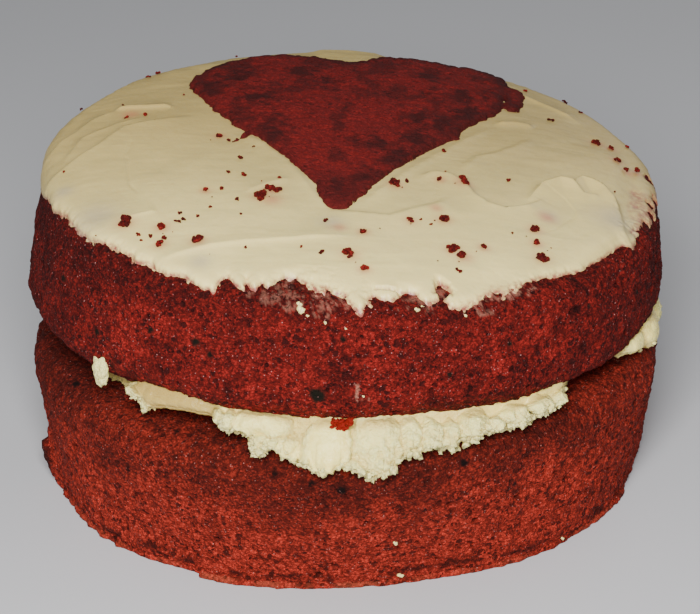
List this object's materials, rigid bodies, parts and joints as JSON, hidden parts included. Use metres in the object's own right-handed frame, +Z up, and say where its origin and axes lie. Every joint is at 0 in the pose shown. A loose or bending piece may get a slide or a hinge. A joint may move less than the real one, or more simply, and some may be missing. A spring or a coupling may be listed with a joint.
{
  "type": "red velvet layer cake",
  "caption": "Round layer cake of dark red sponge with buttercream squeezed out at the middle, pale icing over the top, fallen crumbs and a thin heart of dark red crust laid in the icing.",
  "frame": {"origin": "centre of the cake's bounding box on the floor that it stands on", "axes": "+Z up through both layers; the side with the heart's point, which the picture shows, faces -Y, so +X is the picture's right"},
  "size_m": [0.2, 0.202, 0.1125],
  "materials": {
    "lower_sponge": "matte, open red cake crumb, darker toward the shoulder",
    "filling": "satin, torn and curdled ivory buttercream",
    "upper_sponge": "matte, open dark red cake crumb",
    "icing": "satin, knife-spread cream icing",
    "heart": "matte, mottled dark red crust"
  },
  "bodies": {
    "root": {"lower_sponge": "lower_sponge", "filling": "filling", "upper_sponge": "upper_sponge", "icing": "icing", "heart": "heart"}
  },
  "joints": []
}
